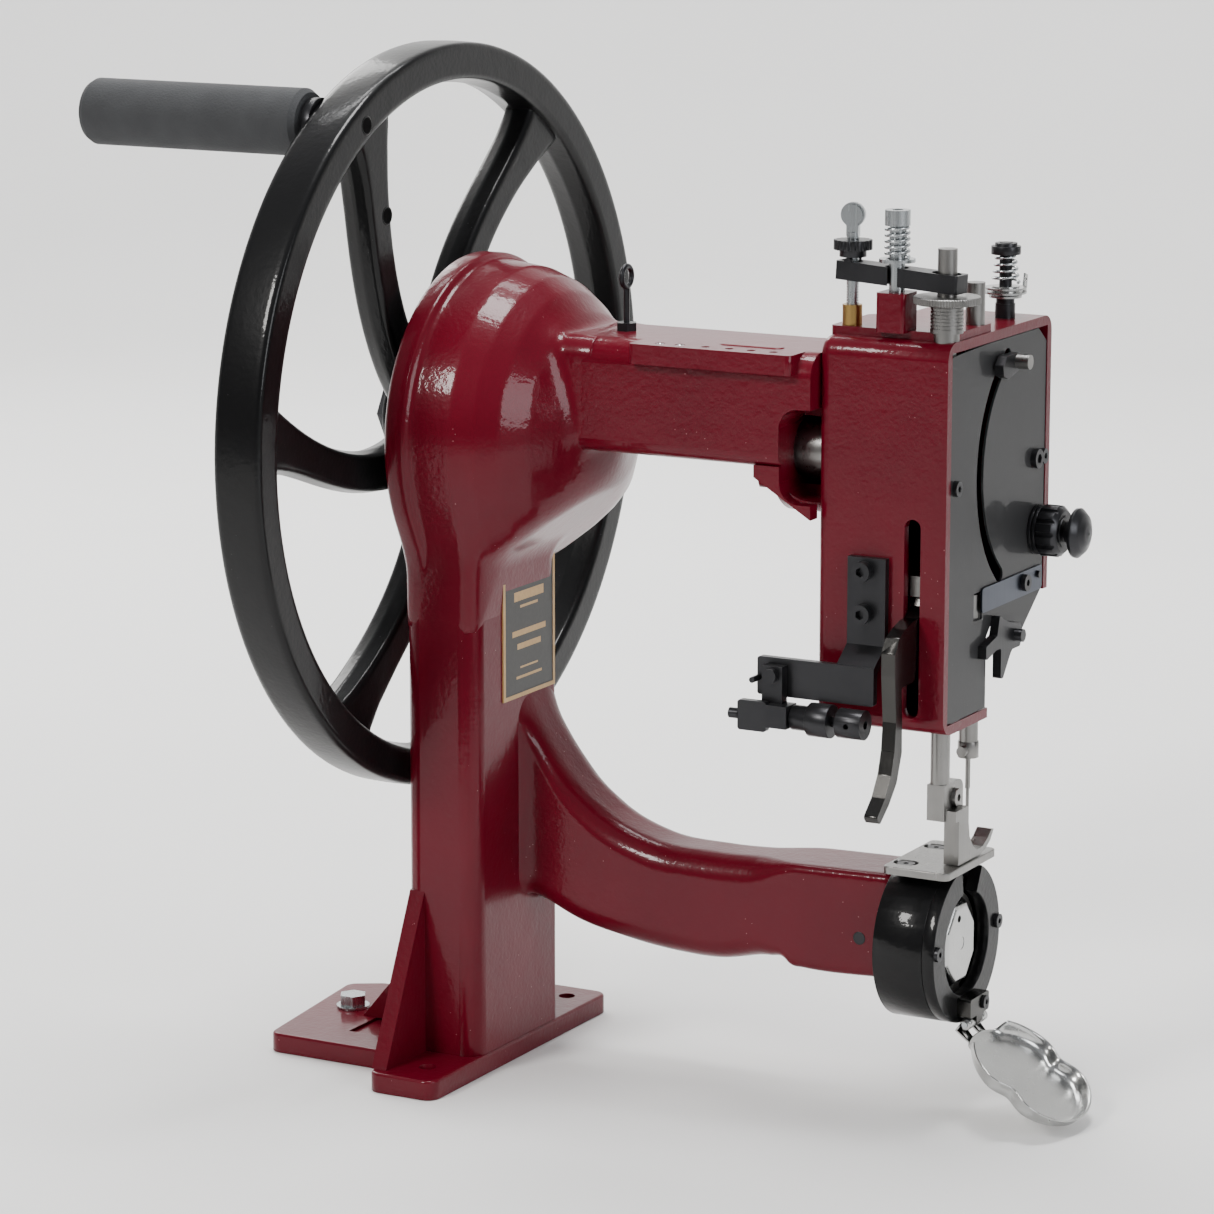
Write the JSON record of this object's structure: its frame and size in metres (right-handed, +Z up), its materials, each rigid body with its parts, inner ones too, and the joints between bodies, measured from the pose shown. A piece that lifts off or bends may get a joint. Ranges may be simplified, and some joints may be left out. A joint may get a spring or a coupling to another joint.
{
  "type": "hand-cranked leather stitching machine",
  "caption": "Hand-wheel leather stitching machine: C-frame casting, needle and presser bars, take-up, shuttle hook with lid and foam crank grip.",
  "frame": {"origin": "on the base's underside, directly below the column's centre", "axes": "+X along the arms from the column to the head, +Y towards the operator's side away from the guide, +Z up"},
  "size_m": [0.5137, 0.381, 0.5175],
  "materials": {
    "burgundy_paint": "gloss",
    "black_paint": "semi-gloss",
    "grey_plate": "satin",
    "label_plate": "satin",
    "black_steel": "oiled black",
    "zinc_steel": "satin",
    "bright_steel": "ground",
    "nickel": "satin nickel",
    "brass": "bright",
    "foam": "matt foam"
  },
  "bodies": {
    "frame": {"base_plate": "burgundy_paint", "column": "burgundy_paint", "wheel_housing": "burgundy_paint", "upper_arm": "burgundy_paint", "lower_arm": "burgundy_paint", "head_casing": "burgundy_paint", "face_plate": "grey_plate", "face_plate_screws": "black_steel", "thread_spring": "black_steel", "thread_hook": "black_paint", "tension_post": "black_paint", "thread_eye": "black_paint", "name_plate": "label_plate", "bushes": "bright_steel", "housing_cover": "black_paint", "bench_bolt": "zinc_steel", "pivot_pins": "zinc_steel", "threaded_sleeve": "bright_steel", "brass_sleeve": "brass", "top_stud": "black_paint", "top_discs": "nickel", "top_spring": "zinc_steel", "spring_screw": "zinc_steel", "pressure_spring": "zinc_steel", "guide_bracket": "black_paint", "guide_screws": "black_steel", "guide_block": "black_steel", "hook_barrel": "black_paint", "hook_ring": "black_paint", "hook_screws": "black_steel", "needle_plate": "bright_steel", "hinge_block": "zinc_steel"},
    "wheel": {"handwheel": "black_paint", "main_shaft": "bright_steel", "shaft_cams": "bright_steel", "wheel_fasteners": "black_steel"},
    "grip": {"handle_grip": "foam"},
    "needle_unit": {"needle_bar": "bright_steel", "needle_yoke": "bright_steel", "needle_clamp": "bright_steel", "needle": "bright_steel"},
    "rack": {"drive_rack": "bright_steel"},
    "shuttle_unit": {"shuttle": "bright_steel", "shuttle_shaft": "bright_steel", "bobbin_case": "nickel"},
    "spool": {"bobbin": "nickel"},
    "take_up": {"take_up_lever": "black_steel", "take_up_eye": "bright_steel"},
    "presser_unit": {"presser_bar": "bright_steel", "presser_foot": "bright_steel", "lift_collar": "bright_steel"},
    "lifter": {"lifter_lever": "black_steel"},
    "spring_bar": {"pressure_bar": "black_paint"},
    "lock_disc": {"knurled_disc": "bright_steel"},
    "thumb": {"thumb_screw": "zinc_steel", "thumb_nut": "black_steel"},
    "side_tension": {"tension_knob": "black_paint"},
    "top_tension": {"top_nut": "black_steel"},
    "roller": {"guide_rollers": "black_steel"},
    "lid": {"hook_cover": "nickel"}
  },
  "joints": [
    {"name": "wheel_spin", "type": "hinge", "parent": "frame", "child": "wheel", "pos_m": [-0.0395, 0.028, 0.327], "axis": [1, 0, 0], "continuous": true},
    {"name": "grip_spin", "type": "hinge", "parent": "wheel", "child": "grip", "pos_m": [-0.12, -0.06045, 0.4832], "axis": [1, 0, 0], "continuous": true},
    {"name": "needle_slide", "type": "slide", "parent": "frame", "child": "needle_unit", "axis": [0, 0, 1], "range_m": [-0.023, 0.01]},
    {"name": "rack_slide", "type": "slide", "parent": "frame", "child": "rack", "axis": [0, 0, 1], "range_m": [-0.01725, 0.0075]},
    {"name": "shuttle_turn", "type": "hinge", "parent": "frame", "child": "shuttle_unit", "pos_m": [0.12, 0.028, 0.0865], "axis": [1, 0, 0], "range_deg": [-48, 110]},
    {"name": "bobbin_spin", "type": "hinge", "parent": "shuttle_unit", "child": "spool", "pos_m": [0.2515, 0.027, 0.0865], "axis": [1, 0, 0], "continuous": true},
    {"name": "take_up_swing", "type": "hinge", "parent": "frame", "child": "take_up", "pos_m": [0.255, 0.108, 0.3165], "axis": [1, 0, 0], "range_deg": [0, 105]},
    {"name": "presser_lift", "type": "slide", "parent": "frame", "child": "presser_unit", "axis": [0, 0, 1], "range_m": [0, 0.01], "stiffness_N_per_m": 1500, "springref_m": -0.02},
    {"name": "lifter_swing", "type": "hinge", "parent": "frame", "child": "lifter", "pos_m": [0.2405, 0.028, 0.254], "axis": [1, 0, 0], "range_deg": [-46, 0]},
    {"name": "spring_bar_tilt", "type": "hinge", "parent": "frame", "child": "spring_bar", "pos_m": [0.2, 0.017, 0.4222], "axis": [0, 1, 0], "range_deg": [-11.5, 0], "deforming": ["pressure_spring"]},
    {"name": "lock_disc_turn", "type": "hinge", "parent": "frame", "child": "lock_disc", "pos_m": [0.2515, 0.0139, 0.4068], "axis": [0, 0, 1], "range_deg": [-45, 45]},
    {"name": "thumb_turn", "type": "hinge", "parent": "frame", "child": "thumb", "pos_m": [0.2, 0.017, 0.414], "axis": [0, 0, 1], "range_deg": [-90, 90]},
    {"name": "side_tension_turn", "type": "hinge", "parent": "frame", "child": "side_tension", "pos_m": [0.275, 0.112, 0.28], "axis": [1, 0, 0], "range_deg": [-180, 180]},
    {"name": "top_tension_turn", "type": "hinge", "parent": "frame", "child": "top_tension", "pos_m": [0.243, 0.102, 0.42], "axis": [0, 0, 1], "range_deg": [-180, 180]},
    {"name": "roller_spin", "type": "hinge", "parent": "frame", "child": "roller", "pos_m": [0.198, -0.018, 0.202], "axis": [1, 0, 0], "continuous": true},
    {"name": "lid_swing", "type": "hinge", "parent": "frame", "child": "lid", "pos_m": [0.2654, 0.028, 0.048], "axis": [0, 1, 0], "range_deg": [-126, 0]}
  ],
  "couplings": [
    {"joint": "rack_slide", "follows": "needle_slide", "ratio": 0.75},
    {"joint": "shuttle_turn", "follows": "needle_slide", "rad_per_m": -83.333},
    {"joint": "lifter_swing", "follows": "presser_lift", "rad_per_m": -78.5},
    {"joint": "spring_bar_tilt", "follows": "presser_lift", "rad_per_m": -19.4}
  ]
}
